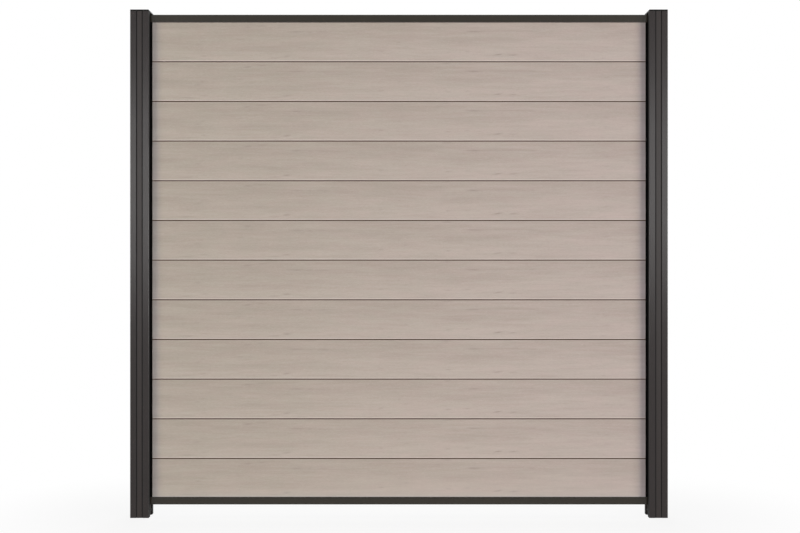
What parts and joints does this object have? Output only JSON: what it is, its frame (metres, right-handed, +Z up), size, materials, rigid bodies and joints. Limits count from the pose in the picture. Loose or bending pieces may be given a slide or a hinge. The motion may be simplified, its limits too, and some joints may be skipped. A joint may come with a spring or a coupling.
{
  "type": "garden privacy screen",
  "caption": "Free-standing garden privacy screen: hollow tongue-and-groove composite boards stacked between slotted dark aluminium posts, with a rail below and above.",
  "frame": {"origin": "on the ground, midway between the posts and midway through their depth", "axes": "+X to the right along the boards, +Y to the rear, +Z up"},
  "size_m": [2.02, 0.07, 1.91],
  "materials": {
    "powder_coated_aluminium": "fine-textured anthracite powder coat",
    "board_composite": "wood-plastic composite, embossed with a fine lengthwise wood grain, matt grey-beige",
    "black_rubber": "matt black EPDM",
    "black_plastic": "moulded black polyamide",
    "screw_steel": "plain stainless steel"
  },
  "bodies": {
    "root": {"post_left": "powder_coated_aluminium", "post_right": "powder_coated_aluminium", "slot_cover_left": "powder_coated_aluminium", "slot_cover_right": "powder_coated_aluminium", "bottom_rail": "powder_coated_aluminium", "top_rail": "powder_coated_aluminium", "board_01": "board_composite", "board_02": "board_composite", "board_03": "board_composite", "board_04": "board_composite", "board_05": "board_composite", "board_06": "board_composite", "board_07": "board_composite", "board_08": "board_composite", "board_09": "board_composite", "board_10": "board_composite", "board_11": "board_composite", "board_12": "board_composite", "gasket_left_front": "black_rubber", "gasket_left_rear": "black_rubber", "gasket_right_front": "black_rubber", "gasket_right_rear": "black_rubber", "post_cap_left": "black_plastic", "post_cap_right": "black_plastic", "spacer_block_left": "black_plastic", "spacer_block_right": "black_plastic", "rail_screws": "screw_steel", "spacer_screws": "screw_steel"}
  },
  "joints": []
}
